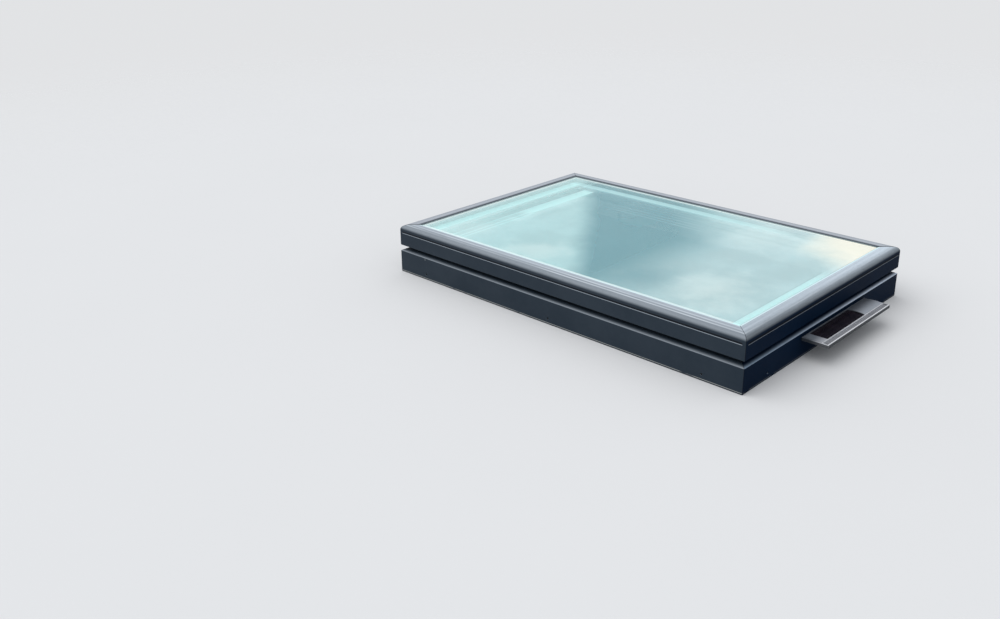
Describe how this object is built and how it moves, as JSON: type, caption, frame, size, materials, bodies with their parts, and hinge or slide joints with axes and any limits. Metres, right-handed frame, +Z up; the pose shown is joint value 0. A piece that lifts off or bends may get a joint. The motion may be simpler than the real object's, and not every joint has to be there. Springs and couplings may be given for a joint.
{
  "type": "roof skylight",
  "caption": "Venting flat-glass roof skylight for a curb: dark clad frame, hinged sash with insulating glass, chain operator, insect screen and a solar tray on the hinge end.",
  "frame": {"origin": "middle of the underside of the curb gasket, the face that rests on top of the roof curb", "axes": "+X points to the hinge end with the solar tray, -X to the end that lifts, -Y to the near long side, +Z up. The skirt hangs below Z 0 round the curb."},
  "size_m": [1.3864, 0.9002, 0.1629],
  "materials": {
    "white_wood": "painted white, satin",
    "anthracite_metal": "satin powder coat",
    "galvanised_steel": "zinc plated, dull",
    "black_rubber": "matte",
    "grey_rubber": "matte",
    "foam_gasket": "matte foam",
    "clear_glass": "polished",
    "spacer_steel": "dull",
    "nylon_block": "matte",
    "white_screen_metal": "satin white",
    "screen_mesh": "woven mesh",
    "white_cover": "satin white",
    "drive_housing": "matte black",
    "chain_steel": "oiled",
    "chain_guide": "matte black",
    "battery_case": "matte dark grey",
    "circuit_board": "green lacquer",
    "tray_aluminium": "satin",
    "solar_cells": "glossy, dark brown black"
  },
  "bodies": {
    "frame": {"battery_pack": "battery_case", "cable_grommet": "black_rubber", "chain": "chain_steel", "chain_guide": "chain_guide", "control_board": "circuit_board", "curb_gasket": "foam_gasket", "frame_cladding_far": "anthracite_metal", "frame_cladding_hinge_end": "anthracite_metal", "frame_cladding_lifting_end": "anthracite_metal", "frame_cladding_near": "anthracite_metal", "frame_corner_brackets": "galvanised_steel", "frame_rail_far": "white_wood", "frame_rail_hinge_end": "white_wood", "frame_rail_lifting_end": "white_wood", "frame_rail_near": "white_wood", "frame_screws": "galvanised_steel", "gearmotor": "drive_housing", "hinge_frame_leaf_far": "galvanised_steel", "hinge_frame_leaf_near": "galvanised_steel", "hinge_pins": "galvanised_steel", "operator_cover": "white_cover", "operator_tray": "galvanised_steel", "pv_panel": "solar_cells", "screen_clips": "galvanised_steel", "screen_frame": "white_screen_metal", "screen_mesh": "screen_mesh", "screen_spline": "black_rubber", "solar_brackets": "anthracite_metal", "solar_cover": "tray_aluminium", "solar_end_caps": "tray_aluminium", "solar_tray": "tray_aluminium", "sprocket_bearing": "galvanised_steel", "weatherstrip_inner": "grey_rubber", "weatherstrip_outer": "grey_rubber"},
    "sash": {"chain_bracket": "galvanised_steel", "chain_end_pin": "chain_steel", "edge_seal": "black_rubber", "glazing_blocks": "nylon_block", "glazing_gasket": "black_rubber", "glazing_tape": "black_rubber", "hinge_sash_leaf_far": "galvanised_steel", "hinge_sash_leaf_near": "galvanised_steel", "inner_pane": "clear_glass", "outer_pane": "clear_glass", "sash_cladding_clips": "galvanised_steel", "sash_cladding_far": "anthracite_metal", "sash_cladding_hinge_end": "anthracite_metal", "sash_cladding_lifting_end": "anthracite_metal", "sash_cladding_near": "anthracite_metal", "sash_corner_brackets": "galvanised_steel", "sash_rail_far": "white_wood", "sash_rail_hinge_end": "white_wood", "sash_rail_lifting_end": "white_wood", "sash_rail_near": "white_wood", "sash_screws": "galvanised_steel", "spacer": "spacer_steel"},
    "sprocket": {"drive_sprocket": "chain_steel"}
  },
  "joints": [
    {"name": "sash_hinge", "type": "hinge", "parent": "frame", "child": "sash", "pos_m": [0.6385, 0, 0.058], "axis": [0, 1, 0], "range_deg": [0, 9.5], "deforming": ["chain"]},
    {"name": "sprocket_spin", "type": "hinge", "parent": "frame", "child": "sprocket", "pos_m": [-0.5255, 0.01307, 0.041], "axis": [-1, 0, 0], "range_deg": [0, 866], "deforming": ["chain"]}
  ],
  "couplings": [
    {"joint": "sprocket_spin", "follows": "sash_hinge", "ratio": 91.1}
  ]
}
